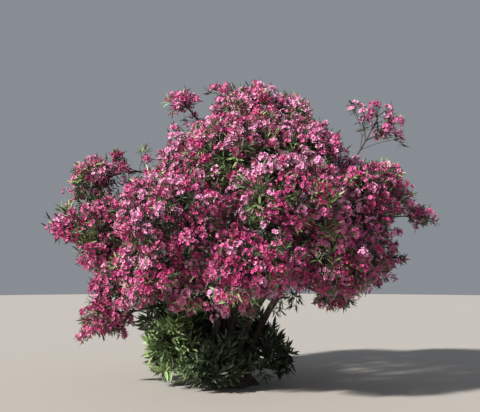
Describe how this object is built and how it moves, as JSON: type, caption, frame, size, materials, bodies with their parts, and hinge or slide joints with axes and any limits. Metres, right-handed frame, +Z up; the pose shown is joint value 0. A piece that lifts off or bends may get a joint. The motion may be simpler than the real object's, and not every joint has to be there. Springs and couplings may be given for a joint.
{
  "type": "flowering oleander shrub",
  "caption": "Tall wide oleander in full pink flower, rooted in open ground: a clump of leaning stems from one root crown, forking boughs, rounded masses of foliage and leafy shoots at the foot.",
  "frame": {"origin": "on the ground, at the middle of the root crown's flat underside", "axes": "+Z up, -Y towards the side that the picture shows, +X to the right in that view"},
  "size_m": [5.6116, 4.4605, 4.3196],
  "materials": {
    "bark": "rough grey-brown bark, paler on the boughs",
    "foliage": "leathery dark green leaves with a slight sheen and a pale midrib",
    "blossom": "soft rose-pink five-petalled flowers in clusters among dark green leaves"
  },
  "bodies": {
    "root": {"root_crown": "bark", "stem_left": "bark", "stem_front": "bark", "stem_right": "bark", "stem_outer": "bark", "stem_middle": "bark", "stem_back": "bark", "bough_right": "bark", "bough_back_right": "bark", "bough_back": "bark", "bough_back_left": "bark", "bough_left": "bark", "bough_front_left": "bark", "bough_front": "bark", "bough_front_right": "bark", "bough_high_left": "bark", "bough_high_right": "bark", "bough_high_back": "bark", "bough_top": "bark", "bough_left_lobe": "bark", "bough_right_spray": "bark", "bough_left_hanging": "bark", "bough_right_hanging": "bark", "foliage_low_right": "blossom", "foliage_low_back_right": "blossom", "foliage_low_back": "blossom", "foliage_low_back_left": "blossom", "foliage_low_left": "blossom", "foliage_low_front_left": "blossom", "foliage_low_front": "blossom", "foliage_low_front_right": "blossom", "foliage_middle_right_back": "blossom", "foliage_middle_back_right": "blossom", "foliage_middle_back_left": "blossom", "foliage_middle_left_back": "blossom", "foliage_middle_left_front": "blossom", "foliage_middle_front_left": "blossom", "foliage_middle_front_right": "blossom", "foliage_middle_right_front": "blossom", "foliage_high_back_right": "blossom", "foliage_high_back_left": "blossom", "foliage_high_left": "blossom", "foliage_high_front_left": "blossom", "foliage_high_front_right": "blossom", "foliage_top_left": "blossom", "foliage_top_right": "blossom", "foliage_top_tuft": "blossom", "foliage_left_lobe": "blossom", "foliage_left_tip": "blossom", "foliage_left_hanging": "blossom", "foliage_right_shoulder": "blossom", "foliage_right_spray": "blossom", "foliage_right_tip": "blossom", "foliage_right_hanging": "blossom", "foliage_basal_left": "foliage", "foliage_basal_front": "foliage", "foliage_basal_right": "foliage", "foliage_basal_back": "foliage", "foliage_basal_back_left": "foliage"}
  },
  "joints": []
}
